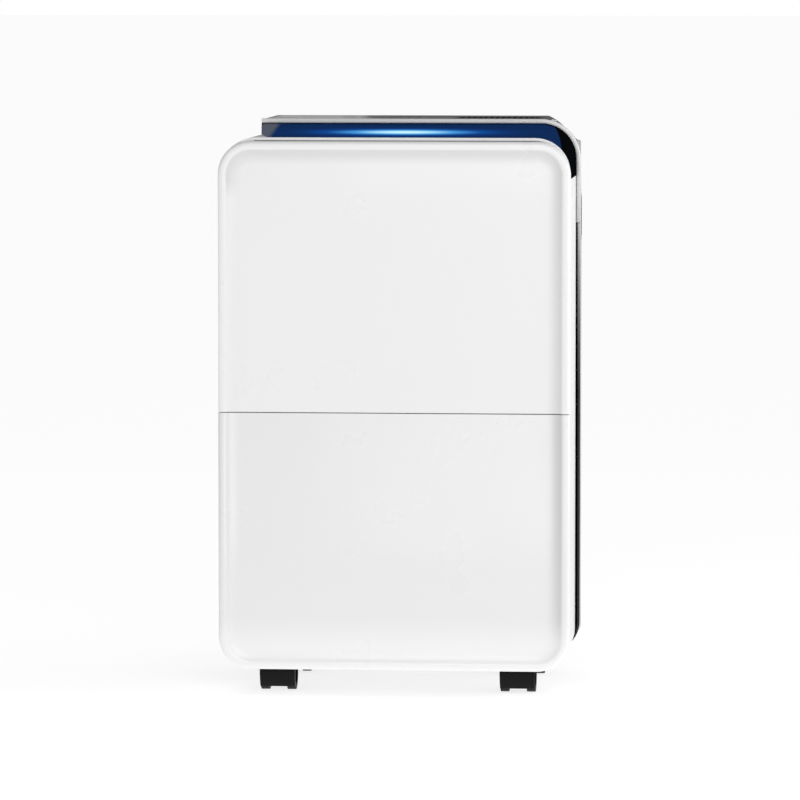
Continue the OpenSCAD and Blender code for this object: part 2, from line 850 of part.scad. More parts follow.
module motor_bracket() {
  color("silver") difference() {
    union() {
      rod_y(fan_x, scroll_d0 - 4, scroll_d0 - gap, fan_z, 44);
      for (a = [0 : 2]) translate([fan_x, 0, fan_z]) rotate([0, a * 120 + 30, 0])
        translate([0, at(scroll_d0 - 8 + gap), -5]) cube([41, 7, 10]);
    }
    rod_y(fan_x, scroll_d0 - 9, scroll_d0 + 1, fan_z, 12);
  }
}

module control_board() {
  x0 = -body_x + wall + 14;
  color("darkgreen") {
    block(x0, x0 + 90, 60, 61.6, deck_z + wall + gap, deck_z + 110);
    block(x0 + 8, x0 + 38, 61, 84, deck_z + 20, deck_z + 48);
    block(x0 + 50, x0 + 76, 61, 78, deck_z + 26, deck_z + 60);
    rod_y(x0 + 24, 61, 86, deck_z + 78, 9);
    rod_y(x0 + 60, 61, 76, deck_z + 84, 6);
  }
}

module run_capacitor() {
  color("gainsboro") rod_z(-118, 148, deck_z + wall + gap, deck_z + 70, 19);
}

module humidity_sensor() {
  x = -inlet_w / 2 - 7 - gap;
  color("white") block(x - 9, x, depth - 17, depth - 9, height - 112, height - 84);
}

// ---- bucket ----

module bucket_tub() {
  color([0.75, 0.78, 0.8]) {
    difference() {
      block(-tub_x, tub_x, tub_d0, tub_d1, tub_z, tub_top);
      block(-tub_x + tub_wall, tub_x - tub_wall, tub_d0 + tub_wall, tub_d1 - tub_wall,
        tub_z + tub_wall, big);
    }
    // Ears that carry the float, on the rear wall
    for (x = [float_x - 22, float_x + 18]) difference() {
      block(x, x + 4, float_d - 8, tub_d1 - 1, float_z - 8, float_z + 8);
      rod_x(x - 1, x + 5, float_d, float_z, 2 + run);
    }
  }
}

module bucket_lid() {
  z = tub_top + gap;
  color([0.55, 0.57, 0.6]) {
    difference() {
      block(-tub_x, tub_x, tub_d0 + gap, tub_d1, z, z + lid_t);
      rod_z(0, drip_d, 0, big, 16);
    }
    // Lugs that carry the bail
    for (s = [-1, 1]) difference() {
      block(s * lug_x - lug_t / 2, s * lug_x + lug_t / 2, bail_d - 7, bail_d + 7,
        z + lid_t - 1, bail_z + 7);
      rod_x(s * lug_x - lug_t, s * lug_x + lug_t, bail_d, bail_z, pin_r + run);
    }
  }
}

module bucket_bail() {
  xi = lug_x - lug_t / 2 - gap;
  color([0.12, 0.12, 0.13]) {
    rod_x(-xi + 1, xi - 1, bail_d - bail_len, bail_z, bail_r);
    for (s = [-1, 1]) {
      block(s > 0 ? xi - 5 : -xi, s > 0 ? xi : -xi + 5, bail_d - bail_len - bail_r, bail_d + 4,
        bail_z - bail_r, bail_z + bail_r);
      rod_x(s > 0 ? xi - 1 : -lug_x - lug_t / 2, s > 0 ? lug_x + lug_t / 2 : -xi + 1, bail_d,
        bail_z, pin_r);
    }
  }
}

module float() {
  color("orange") {
    block(float_x - 17, float_x + 17, float_d - 62, float_d - 22, float_z - 20, float_z - 4);
    block(float_x - 8, float_x + 8, float_d - 24, float_d + 3, float_z - 7, float_z + 3);
    rod_x(float_x - 22, float_x + 22, float_d, float_z, 2);
  }
}

switch_x = 60;
switch_z = pan_top + 60;

module bucket_switch() {
  color([0.1, 0.1, 0.11]) difference() {
    block(switch_x - 10, switch_x + 10, bulk_d + wall + gap, bulk_d + wall + 14, switch_z - 8,
      switch_z + 8);
    rod_y(switch_x, 0, bulk_d + wall + 8, switch_z, 2 + run);
  }
}

module switch_plunger() {
  color("red") rod_y(switch_x, tub_d1 + gap, bulk_d + wall + 5, switch_z, 2);
}

// ---- casters ----

hood_r = wheel_r + 3;
web_x = wheel_gap / 2 - gap;
hood_x = wheel_gap / 2 + wheel_w + 1;
hood_gap_z = 4.5;
fork_top = pan_z - 0.4;
axle_r = 2.5;

module caster(k) {
  x = CASTERS[k][0];
  s = CASTERS[k][1];
  a = s + trail;
  color([0.06, 0.06, 0.06]) difference() {
    union() {
      intersection() {
        rod_x(x - hood_x, x + hood_x, a, wheel_r, hood_r);
        union() {
          block(x - big, x + big, -big, a, hood_gap_z, big);
          block(x - big, x + big, -big, big, wheel_r, big);
          block(x - web_x, x + web_x, -big, big, hood_gap_z, big);
        }
      }
      rod_z(x, s, wheel_r + 6, fork_top, stem_dia / 2 + 8);
      rod_z(x, s, fork_top - 1, pan_top + boss_h - 4, stem_dia / 2);
    }
    for (m = [-1, 1]) rod_x(m > 0 ? x + web_x : x - hood_x - 1, m > 0 ? x + hood_x + 1 : x - web_x,
      a, wheel_r, wheel_r + 0.8);
    rod_x(x - hood_x, x + hood_x, a, wheel_r, axle_r + run);
  }
}

module wheels(k) {
  x = CASTERS[k][0];
  a = CASTERS[k][1] + trail;
  color([0.1, 0.1, 0.1]) {
    for (m = [-1, 1]) {
      x0 = m > 0 ? x + wheel_gap / 2 : x - wheel_gap / 2 - wheel_w;
      difference() {
        rod_x(x0, x0 + wheel_w, a, wheel_r, wheel_r);
        rod_x(m > 0 ? x0 + wheel_w - 2 : x0 - 1, m > 0 ? x0 + wheel_w + 1 : x0 + 2, a, wheel_r,
          wheel_r - 5);
      }
    }
    rod_x(x - wheel_gap / 2 - wheel_w / 2, x + wheel_gap / 2 + wheel_w / 2, a, wheel_r, axle_r);
  }
}

module caster_front_left() { caster(0); }
module caster_front_right() { caster(1); }
module caster_rear_left() { caster(2); }
module caster_rear_right() { caster(3); }
module wheels_front_left() { wheels(0); }
module wheels_front_right() { wheels(1); }
module wheels_rear_left() { wheels(2); }
module wheels_rear_right() { wheels(3); }

upper_front_cover();
bucket_front();
front_body();
trim_ring();
rear_shell();
base_pan();
chassis();
top_deck();
outlet_grille();
louver_1();
louver_2();
louver_3();
display_skin();
light_guide();
display_board();
console_tray();
key_power();
key_mode();
key_fan();
key_up();
key_down();
inlet_grille();
filter_frame();
filter_mesh();
grip_left();
grip_right();
drain_nozzle();
cord_gland();
rear_screws();
control_board();
run_capacitor();
humidity_sensor();
drip_tray();
evaporator_fins();
evaporator_tube();
condenser_fins();
condenser_tube();
compressor();
compressor_feet();
accumulator();
fan_scroll();
fan_impeller();
fan_motor();
motor_bracket();
bucket_tub();
bucket_lid();
bucket_bail();
float();
bucket_switch();
switch_plunger();
caster_front_left();
caster_front_right();
caster_rear_left();
caster_rear_right();
wheels_front_left();
wheels_front_right();
wheels_rear_left();
wheels_rear_right();
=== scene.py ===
"""Portable dehumidifier: finished shells, materials and the studio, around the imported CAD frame."""
import json
import math

import bmesh
import bpy
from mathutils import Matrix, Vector


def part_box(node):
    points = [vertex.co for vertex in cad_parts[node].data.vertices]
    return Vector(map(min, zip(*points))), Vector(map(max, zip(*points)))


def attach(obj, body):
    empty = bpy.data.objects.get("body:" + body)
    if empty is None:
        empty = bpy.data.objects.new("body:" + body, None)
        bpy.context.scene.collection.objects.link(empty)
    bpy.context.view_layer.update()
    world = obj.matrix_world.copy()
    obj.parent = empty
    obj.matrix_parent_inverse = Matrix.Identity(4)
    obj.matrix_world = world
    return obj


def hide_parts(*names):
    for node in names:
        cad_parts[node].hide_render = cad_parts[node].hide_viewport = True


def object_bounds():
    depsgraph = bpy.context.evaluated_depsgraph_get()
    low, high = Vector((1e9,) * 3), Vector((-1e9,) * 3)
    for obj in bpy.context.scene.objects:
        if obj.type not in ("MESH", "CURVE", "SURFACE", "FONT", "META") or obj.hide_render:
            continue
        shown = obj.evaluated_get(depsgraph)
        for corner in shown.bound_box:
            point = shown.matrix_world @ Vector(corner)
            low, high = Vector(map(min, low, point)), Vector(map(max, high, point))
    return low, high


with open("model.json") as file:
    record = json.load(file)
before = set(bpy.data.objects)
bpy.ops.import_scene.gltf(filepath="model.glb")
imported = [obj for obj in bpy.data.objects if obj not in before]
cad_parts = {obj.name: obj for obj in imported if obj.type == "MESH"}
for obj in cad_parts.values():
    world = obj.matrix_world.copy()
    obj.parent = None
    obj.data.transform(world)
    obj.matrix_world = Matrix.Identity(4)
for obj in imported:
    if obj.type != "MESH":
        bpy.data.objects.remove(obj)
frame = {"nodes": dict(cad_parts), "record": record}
CAD_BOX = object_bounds()
NODES = frame["nodes"]
BODY_OF = {n: b for b, ns in frame["record"]["behaviour"]["bodies"].items() for n in ns}
SLOT_OF = {s["node"]: s["material_slot"] for s in frame["record"]["subparts"]}
MM = 0.001
MATERIALS = {}

PANEL = (-175.8, 175.8, 27.0, 555.0, (33.0,) * 4)
SEAM_Z = 284.5
SEAM_HALF = 0.35
LIP_CREST = 5.6
COVE_START = 9.0
COVE_END = 25.0
DISH = 3.0
PANEL_BACK = 8.0
PULL = (-60.0, 60.0, 5.5, 9.0, 20.0, 42.0)
WHITE = (0.84, 0.84, 0.84)
# Painted shade in the hollow behind the panel's lip: the white is darkened by this factor.
LIP_PAINTED_SHADE = 0.81
# Painted bounce light: the panel is lightened to this grey near its bottom edge.
PAINTED_BOUNCE = 0.93


# ---------------------------------------------------------------- camera

CAM_DISTANCE = 5.86
CAM_LENS = 265.2
CAM_AZIMUTH = 4.85
CAM_ELEVATION = 4.38
CAM_TARGET_X = 0.0065
CAM_TARGET_Z = 0.2981


def make_camera():
    """Long lens, a little above and to the right, as in a catalogue view."""
    target = Vector((CAM_TARGET_X, CAD_BOX[0].y, CAM_TARGET_Z))
    az, el = math.radians(CAM_AZIMUTH), math.radians(CAM_ELEVATION)
    back = Vector((math.sin(az) * math.cos(el), -math.cos(az) * math.cos(el), math.sin(el)))
    data = bpy.data.cameras.new("camera")
    data.lens = CAM_LENS
    data.sensor_width = 36.0
    data.clip_end = 100.0
    camera = bpy.data.objects.new("camera", data)
    bpy.context.scene.collection.objects.link(camera)
    camera.location = target + back * CAM_DISTANCE
    camera.rotation_mode = "QUATERNION"
    camera.rotation_quaternion = (-back).to_track_quat("-Z", "Y")
    bpy.context.scene.camera = camera


# ---------------------------------------------------------------- materials


class Graph:
    """Short calls that add nodes to a material's tree."""

    def __init__(self, mat):
        self.tree = mat.node_tree
        self.shader = self.tree.nodes["Principled BSDF"]

    def add(self, kind, **values):
        node = self.tree.nodes.new(kind)
        for name, value in values.items():
            setattr(node, name, value)
        return node

    def link(self, source, target):
        self.tree.links.new(source, target)

    def put(self, value, socket):
        if isinstance(value, bpy.types.NodeSocket):
            self.link(value, socket)
        else:
            socket.default_value = value

    def math(self, operation, a, b=0.0, clamp=False):
        node = self.add("ShaderNodeMath", operation=operation, use_clamp=clamp)
        self.put(a, node.inputs[0])
        self.put(b, node.inputs[1])
        return node.outputs[0]

    def place(self):
        """Object-space X, Y and Z."""
        coord = self.add("ShaderNodeTexCoord")
        split = self.add("ShaderNodeSeparateXYZ")
        self.link(coord.outputs["Object"], split.inputs[0])
        return split.outputs[0], split.outputs[1], split.outputs[2]

    def remap(self, value, a, b, low, high, smooth=False):
        node = self.add("ShaderNodeMapRange", interpolation_type="SMOOTHSTEP" if smooth else "LINEAR")
        self.put(value, node.inputs["Value"])
        for name, number in (("From Min", a), ("From Max", b), ("To Min", low), ("To Max", high)):
            node.inputs[name].default_value = number
        return node.outputs["Result"]

    def noise(self, scale, low, high, detail=3.0, stretch=None):
        coord = self.add("ShaderNodeTexCoord")
        source = coord.outputs["Object"]
        if stretch:
            mapping = self.add("ShaderNodeMapping")
            mapping.inputs["Scale"].default_value = stretch
            self.link(source, mapping.inputs["Vector"])
            source = mapping.outputs["Vector"]
        noise = self.add("ShaderNodeTexNoise")
        noise.inputs["Scale"].default_value = scale
        noise.inputs["Detail"].default_value = detail
        self.link(source, noise.inputs["Vector"])
        return self.remap(noise.outputs["Fac"], 0.3, 0.7, low, high)

    def mix(self, factor, a, b):
        node = self.add("ShaderNodeMix", data_type="RGBA")
        self.put(factor, node.inputs[0])
        for value, socket in ((a, node.inputs[6]), (b, node.inputs[7])):
            self.put((*value, 1.0) if isinstance(value, tuple) else value, socket)
        return node.outputs[2]

    def ramp(self, value, stops):
        node = self.add("ShaderNodeValToRGB")
        self.link(value, node.inputs[0])
        points = node.color_ramp.elements
        while len(points) < len(stops):
            points.new(0.5)
        for point, (at, color) in zip(points, stops):
            point.position = at
            point.color = (*color, 1.0)
        return node.outputs["Color"]

    def bump(self, height, strength, distance):
        node = self.add("ShaderNodeBump")
        node.inputs["Strength"].default_value = strength
        node.inputs["Distance"].default_value = distance
        self.link(height, node.inputs["Height"])
        self.link(node.outputs["Normal"], self.shader.inputs["Normal"])


def new_material(name, color, roughness, coat=0.0, specular=0.5, metallic=0.0):
    mat = bpy.data.materials.new(name)
    mat.use_nodes = True
    shader = mat.node_tree.nodes["Principled BSDF"]
    shader.inputs["Base Color"].default_value = (*color, 1.0)
    shader.inputs["Roughness"].default_value = roughness
    shader.inputs["Metallic"].default_value = metallic
    shader.inputs["Coat Weight"].default_value = coat
    shader.inputs["Coat Roughness"].default_value = 0.08
    shader.inputs["Specular IOR Level"].default_value = specular
    mat.diffuse_color = (*color, 1.0)
    MATERIALS[name] = mat
    return mat


def moulded(name, color, roughness, grain, depth_mm, spread=0.04, **finish):
    """Plastic or metal with a slight gloss variation and a fine surface grain."""
    mat = new_material(name, color, roughness, **finish)
    graph = Graph(mat)
    graph.link(graph.noise(14.0, roughness - spread, roughness + spread), graph.shader.inputs["Roughness"])
    graph.bump(graph.noise(grain, 0.0, 1.0, detail=2.0), 0.35, depth_mm * MM)
    return mat


def smoked_skin():
    """Smoked glossy skin: navy on top where the display light spreads, black down the side."""
    mat = new_material("smoked_skin", (0.002, 0.0025, 0.003), 0.22, specular=0.0)
    graph = Graph(mat)
    x, y, z = graph.place()
    front = CAD_BOX[0].y
    falls = []
    for axis, middle, spread in ((x, 0.0075, 0.071), (y, front + 0.044, 0.0190)):
        away = graph.math("DIVIDE", graph.math("SUBTRACT", axis, middle), spread)
        falls.append(graph.math("EXPONENT", graph.math("MULTIPLY", graph.math("MULTIPLY", away, away), -1.0)))
    light = graph.math("MULTIPLY", falls[0], falls[1])
    color = graph.ramp(light, [(0.0, (0.0042, 0.0225, 0.090)), (0.10, (0.0050, 0.0300, 0.140)),
                               (0.30, (0.0055, 0.070, 0.310)), (0.62, (0.070, 0.330, 0.74)),
                               (0.85, (0.36, 0.72, 0.97)), (1.0, (0.62, 0.98, 1.0))])
    # Painted sheen: the left end of the band glows a flat grey in place of the display light.
    painted_end_sheen = graph.remap(x, -0.128, -0.121, 1.0, 0.0, smooth=True)
    color = graph.mix(painted_end_sheen, color, (0.085, 0.095, 0.13))
    shear = graph.math("MULTIPLY", graph.math("SUBTRACT", y, front + 0.0103), 0.112)
    rise = graph.math("SUBTRACT", graph.math("SUBTRACT", z, shear), 0.5241)
    run = graph.math("SUBTRACT", x, 0.1403)
    turn = graph.remap(y, front + 0.0103, front + 0.1057, 1.096, 0.418)
    lean = graph.math("SUBTRACT", run, graph.math("MULTIPLY", rise, turn))
    black = graph.remap(lean, -0.0008, 0.0008, 0.0, 1.0, smooth=True)
    edge = graph.remap(y, front + 0.094, front + 0.102, 1.0, 0.45, smooth=True)
    graph.link(graph.mix(black, color, (0.0006, 0.0007, 0.0009)), graph.shader.inputs["Emission Color"])
    graph.link(edge, graph.shader.inputs["Emission Strength"])
    graph.link(graph.noise(10.0, 0.18, 0.26), graph.shader.inputs["Roughness"])
    graph.bump(graph.noise(220.0, 0.0, 1.0), 0.2, 0.00001)


def panel_white():
    """Glossy white of the front panels, with painted shade in the hollow behind the lip, strongest along the
    top and the right, and painted bounce light towards the bottom.
    """
    mat = moulded("panel_white", WHITE, 0.30, 260.0, 0.012, coat=0.15)
    graph = Graph(mat)
    x, _, z = graph.place()
    x0, x1, z0, z1, radii = PANEL
    half = ((x1 - x0) / 2 - radii[0], (z1 - z0) / 2 - radii[0])
    middle = ((x0 + x1) / 2, (z0 + z1) / 2)
    outside, inside, along = [], [], []
    for axis, centre, reach in ((x, middle[0], half[0]), (z, middle[1], half[1])):
        offset = graph.math("SUBTRACT", axis, centre * MM)
        over = graph.math("SUBTRACT", graph.math("ABSOLUTE", offset), reach * MM)
        outside.append(graph.math("MAXIMUM", over, 0.0))
        inside.append(over)
        along.append(graph.math("DIVIDE", offset, reach * MM))
    corner = graph.math("SQRT", graph.math("ADD", graph.math("MULTIPLY", outside[0], outside[0]),
                                           graph.math("MULTIPLY", outside[1], outside[1])))
    flat = graph.math("MINIMUM", graph.math("MAXIMUM", inside[0], inside[1]), 0.0)
    inset = graph.math("SUBTRACT", radii[0] * MM, graph.math("ADD", corner, flat))
    hollow = graph.math("MULTIPLY", graph.remap(inset, 0.0070, 0.0095, 0.0, 1.0, smooth=True),
                        graph.remap(inset, 0.0095, 0.0250, 1.0, 0.0, smooth=True))
    # Painted shade: the hollow is darkened most along the top and the right side, and little along the bottom
    # and the left.
    sides = [graph.remap(over, -0.028, -0.006, 0.0, 1.0) for over in inside]
    lit = [graph.math("MULTIPLY", side, graph.remap(way, -1.0, 1.0, 0.15, 1.0))
           for side, way in zip(sides, along)]
    painted_lip_shade = graph.math("MULTIPLY", hollow, graph.math("MAXIMUM", lit[0], lit[1]))
    painted_tone = graph.mix(painted_lip_shade, WHITE, tuple(c * LIP_PAINTED_SHADE for c in WHITE))
    # Painted bounce light: lighter towards the bottom edge.
    painted_tone = graph.mix(graph.remap(z, 0.085, 0.040, 0.0, 1.0, smooth=True), painted_tone, (PAINTED_BOUNCE,) * 3)
    graph.link(painted_tone, graph.shader.inputs["Base Color"])


def grey(value):
    return (value, value, value)


def silver_trim():
    """Silvery trim with a painted reflection that is bright at the top and fades darker as the trim runs down
    the side.
    """
    mat = moulded("silver_trim", (0.80, 0.81, 0.82), 0.25, 900.0, 0.008, coat=0.3)
    graph = Graph(mat)
    _, _, z = graph.place()
    # Painted reflection: the trim's colour fades from light grey at the top to darker grey lower down the
    # side.
    painted_reflection_fade = graph.remap(z, 0.470, 0.560, 0.0, 1.0)
    painted_tone = graph.ramp(painted_reflection_fade, [(0.0, grey(0.46)), (0.65, grey(0.62)), (1.0, grey(0.82))])
    graph.link(painted_tone, graph.shader.inputs["Base Color"])


def shell_gloss():
    """Glossy black shell; below the trim its front step carries a painted reflection, grey at the top fading
    down to black.
    """
    mat = moulded("shell_gloss", (0.010, 0.010, 0.011), 0.16, 220.0, 0.008, specular=0.35)
    graph = Graph(mat)
    x, y, z = graph.place()
    front = CAD_BOX[0].y
    step = graph.math("MULTIPLY", graph.remap(x, 0.1750, 0.1756, 0.0, 1.0),
                      graph.remap(y, front + 0.1140, front + 0.1150, 1.0, 0.0))
    # Painted reflection on the front step: grey at the top, fading to black lower down.
    painted_reflection_fade = graph.ramp(graph.remap(z, 0.300, 0.475, 0.0, 1.0),
                      [(0.0, grey(0.010)), (0.25, grey(0.055)), (0.52, grey(0.15)),
                       (0.75, grey(0.25)), (1.0, grey(0.46))])
    graph.link(graph.mix(step, (0.010, 0.010, 0.011), painted_reflection_fade), graph.shader.inputs["Base Color"])


def mesh_cloth():
    """Fine woven filter net."""
    mat = new_material("mesh", (0.09, 0.09, 0.10), 0.8, specular=0.2)
    graph = Graph(mat)
    x, _, z = graph.place()
    lines = [graph.math("SINE", graph.math("MULTIPLY", axis, 2600.0)) for axis in (x, z)]
    weave = graph.math("MAXIMUM", lines[0], lines[1])
    color = graph.mix(graph.remap(weave, 0.0, 0.8, 0.0, 1.0), (0.012, 0.012, 0.014), (0.16, 0.16, 0.17))
    graph.link(color, graph.shader.inputs["Base Color"])
    graph.link(graph.noise(30.0, 0.7, 0.9), graph.shader.inputs["Roughness"])
    graph.bump(weave, 0.5, 0.0002)


def make_materials():
    moulded("white_gloss", WHITE, 0.30, 260.0, 0.012, coat=0.15)
    moulded("white_satin", WHITE, 0.42, 900.0, 0.02)
    silver_trim()
    shell_gloss()
    moulded("black_gloss", (0.010, 0.010, 0.011), 0.16, 220.0, 0.008, specular=0.35)
    moulded("grey_plastic", (0.22, 0.22, 0.23), 0.5, 1200.0, 0.05)
    moulded("black_satin", (0.016, 0.016, 0.018), 0.40, 1500.0, 0.05, specular=0.4)
    moulded("key", (0.035, 0.035, 0.04), 0.45, 1500.0, 0.03, specular=0.4)
    moulded("legend", (0.55, 0.57, 0.60), 0.5, 1500.0, 0.02)
    moulded("filter_plastic", (0.06, 0.06, 0.066), 0.45, 1400.0, 0.05)
    moulded("tray_plastic", (0.7, 0.7, 0.72), 0.4, 1000.0, 0.04)
    moulded("tub_plastic", (0.62, 0.68, 0.73), 0.25, 700.0, 0.03, coat=0.2)
    moulded("lid_plastic", (0.30, 0.32, 0.35), 0.4, 1000.0, 0.04)
    moulded("float_plastic", (0.85, 0.35, 0.08), 0.6, 1600.0, 0.1)
    moulded("switch_red", (0.6, 0.02, 0.02), 0.3, 1000.0, 0.02)
    moulded("caster_plastic", (0.008, 0.008, 0.009), 0.42, 1500.0, 0.05, specular=0.12)
    moulded("wheel_plastic", (0.009, 0.009, 0.010), 0.5, 1300.0, 0.06, specular=0.12)
    moulded("rubber", (0.02, 0.02, 0.02), 0.75, 1800.0, 0.1)
    moulded("board", (0.03, 0.13, 0.06), 0.35, 500.0, 0.05)
    moulded("black_metal", (0.015, 0.015, 0.016), 0.3, 90.0, 0.08, coat=0.3)
    moulded("light", (0.5, 0.85, 1.0), 0.4, 900.0, 0.03)
    moulded("steel", (0.5, 0.5, 0.52), 0.3, 700.0, 0.03, metallic=1.0)
    moulded("aluminium", (0.75, 0.76, 0.78), 0.35, 700.0, 0.03, metallic=1.0)
    moulded("copper", (0.72, 0.38, 0.22), 0.3, 700.0, 0.03, metallic=1.0)
    panel_white()
    mesh_cloth()
    smoked_skin()


# ---------------------------------------------------------------- mesh helpers


SHOULDER_CENTRE = (140.5, 535.0)
SHOULDER_R = 39.5
SHOULDER_DRAW = 9.0
SHOULDER_FROM = 112.0
SHOULDER_RUN = 112.0
SHOULDER_CUTS_D = (118, 125, 140, 155, 170, 185, 200, 215)
SHOULDER_CUTS_X = (0.0, 3.0, 6.0, 9.0)
HOOD_TAPER = 0.05


def point(x, d, z):
    """A point in metres from X, the depth behind the front lip and Z, all in millimetres."""
    return Vector((x * MM, d * MM + CAD_BOX[0].y, z * MM))


def outline(x0, x1, z0, z1, radii, inset=0.0, steps=12):
    """Points round a rectangle; the radii go lower left, lower right, upper right, upper left."""
    spots = ((x0, z0, 1, 1, 180), (x1, z0, -1, 1, 270), (x1, z1, -1, -1, 0), (x0, z1, 1, -1, 90))
    points = []
    for (cx, cz, sx, sz, start), radius in zip(spots, radii):
        reach = max(radius, inset)
        for k in range(steps + 1):
            a = math.radians(start + 90.0 * k / steps)
            r = reach - inset
            points.append((cx + sx * reach + r * math.cos(a), cz + sz * reach + r * math.sin(a)))
    return points


def loft(bm, rings, capped=True):
    """Joins closed rings of points with quads."""
    rows = [[bm.verts.new(p) for p in ring] for ring in rings]
    for low, high in zip(rows, rows[1:]):
        for k in range(len(low)):
            n = (k + 1) % len(low)
            bm.faces.new((low[k], low[n], high[n], high[k]))
    if capped:
        bm.faces.new(list(reversed(rows[0])))
        bm.faces.new(rows[-1])
    return rows


def clean(bm, merge=2e-6):
    bmesh.ops.remove_doubles(bm, verts=bm.verts, dist=merge)
    bmesh.ops.dissolve_degenerate(bm, edges=bm.edges, dist=1e-7)
    bmesh.ops.recalc_face_normals(bm, faces=bm.faces)


def bevel_sharp(bm, width, limit=35.0):
    """Rounds the sharp edges, less where the mesh round them is fine."""
    sharp = math.radians(limit)
    weights = bm.edges.layers.float.new("bevel_weight_edge")
    chosen = [e for e in bm.edges if len(e.link_faces) == 2 and e.calc_face_angle(0.0) > sharp]
    for edge in chosen:
        near = min(o.calc_length() for v in edge.verts for o in v.link_edges)
        edge[weights] = min(1.0, 0.35 * near / width)


def shade(mesh, angle=35.0):
    mesh.polygons.foreach_set("use_smooth", [True] * len(mesh.polygons))
    mesh.set_sharp_from_angle(angle=math.radians(angle))


def make_piece(name, bm, slot, body, nodes=(), width=0.0, angle=35.0, material=None):
    if width:
        bevel_sharp(bm, width, angle)
    mesh = bpy.data.meshes.new(name)
    bm.to_mesh(mesh)
    bm.free()
    shade(mesh, angle)
    piece = bpy.data.objects.new(name, mesh)
    bpy.context.scene.collection.objects.link(piece)
    if width:
        bevel = piece.modifiers.new("edges", "BEVEL")
        bevel.limit_method = "WEIGHT"
        bevel.width = width
        bevel.segments = 2
        bevel.use_clamp_overlap = False
        piece.modifiers.new("normals", "WEIGHTED_NORMAL").keep_sharp = True
    piece.data.materials.append(MATERIALS[material or slot])
    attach(piece, body)
    if nodes:
        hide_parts(*nodes)
    return piece


def cad_mesh(node):
    bm = bmesh.new()
    bm.from_mesh(NODES[node].data)
    bmesh.ops.remove_doubles(bm, verts=bm.verts, dist=2e-6)
    bmesh.ops.dissolve_limit(bm, angle_limit=math.radians(0.5), verts=bm.verts, edges=bm.edges)
    bmesh.ops.recalc_face_normals(bm, faces=bm.faces)
    return bm


def refined(node, width=0.5, angle=35.0):
    """A finished copy of a CAD node: clean faces, rounded edges and smooth curves."""
    return make_piece(node + "_finished", cad_mesh(node), SLOT_OF[node], BODY_OF[node], (node,),
                      width * MM, angle)


def round_shoulder(bm):
    """Draws the upper right edge in towards the back, so that it falls behind the trim."""
    for vert in bm.verts:
        u = vert.co.x - SHOULDER_CENTRE[0] * MM
        v = vert.co.z - SHOULDER_CENTRE[1] * MM
        back = (vert.co.y - CAD_BOX[0].y) / MM - SHOULDER_FROM
        if u <= 0 or v <= 0 or back <= 0:
            continue
        reach = math.hypot(u, v)
        bend = 2.0 * u * v / reach ** 2
        draw = SHOULDER_DRAW * min(back / SHOULDER_RUN, 1.0) * (bend if v > u else bend * bend)
        scale = 1.0 - draw / SHOULDER_R
        vert.co.x += u * (scale - 1.0)
        vert.co.z += v * (scale - 1.0)


def slice_up(bm, axis, stations):
    """Adds rows of edges across a mesh where it is going to be bent."""
    for station in stations:
        spot, normal = Vector(), Vector()
        spot[axis], normal[axis] = station, 1.0
        geometry = bm.verts[:] + bm.edges[:] + bm.faces[:]
        bmesh.ops.bisect_plane(bm, geom=geometry, dist=1e-7, plane_co=spot, plane_no=normal)


def drawn_in(node, width, material=None):
    """A refined copy of a node whose upper right edge follows the drawn-in shoulder."""
    bm = cad_mesh(node)
    slice_up(bm, 1, [CAD_BOX[0].y + d * MM for d in SHOULDER_CUTS_D])
    slice_up(bm, 0, [(SHOULDER_CENTRE[0] + x) * MM for x in SHOULDER_CUTS_X])
    round_shoulder(bm)
    make_piece(node + "_finished", bm, SLOT_OF[node], BODY_OF[node], (node,), width * MM,
               material=material)


def caster_hood(node):
    """The hood draws in a little from its top to its lower edge."""
    bm = cad_mesh(node)
    low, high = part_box(node)
    middle = (Vector(low) + Vector(high)) / 2
    for vert in bm.verts:
        share = (vert.co.z - low[2]) / (high[2] - low[2])
        pull = 1.0 - HOOD_TAPER * (1.0 - min(share, 1.0))
        for axis in (0, 1):
            vert.co[axis] = middle[axis] + (vert.co[axis] - middle[axis]) * pull
    make_piece(node + "_finished", bm, SLOT_OF[node], BODY_OF[node], (node,), 0.6 * MM)


def lathe(bm, profile, x, d, steps=48):
    """Turns (radius, height) points about a vertical axis."""
    rings = []
    for r, z in profile:
        angles = (2 * math.pi * k / steps for k in range(steps))
        rings.append([point(x + r * math.cos(a), d + r * math.sin(a), z) for a in angles])
    loft(bm, rings)


def plate(bm, shape, x, d, z0, z1):
    """A flat plate standing on z0, its outline given about (x, d)."""
    loft(bm, [[point(x + u, d + v, z) for u, v in shape] for z in (z0, z1)])


def sweep(bm, path, section):
    """Carries a closed (out, depth) section along (x, z, out x, out z) stations."""
    loft(bm, [[point(x + nx * u, v, z + nz * u) for u, v in section] for x, z, nx, nz in path])


def carve(bm, boxes):
    """Takes boxes (x0, x1, d0, d1, z0, z1) out of a closed mesh."""
    collection = bpy.context.scene.collection
    temps = []
    for number, shape in enumerate([bm] + boxes):
        mesh = bpy.data.meshes.new("temp")
        if number:
            x0, x1, d0, d1, z0, z1 = shape
            shape = bmesh.new()
            loft(shape, [[point(x, d, z) for x, d in ((x0, d0), (x1, d0), (x1, d1), (x0, d1))]
                         for z in (z0, z1)])
            bmesh.ops.recalc_face_normals(shape, faces=shape.faces)
        shape.to_mesh(mesh)
        shape.free()
        temp = bpy.data.objects.new("temp", mesh)
        collection.objects.link(temp)
        temps.append(temp)
    for cutter in temps[1:]:
        cut = temps[0].modifiers.new("cut", "BOOLEAN")
        cut.operation = "DIFFERENCE"
        cut.object = cutter
    carved = bmesh.new()
    carved.from_object(temps[0], bpy.context.evaluated_depsgraph_get())
    for temp in temps:
        bpy.data.objects.remove(temp)
    return carved


# ---------------------------------------------------------------- front panels

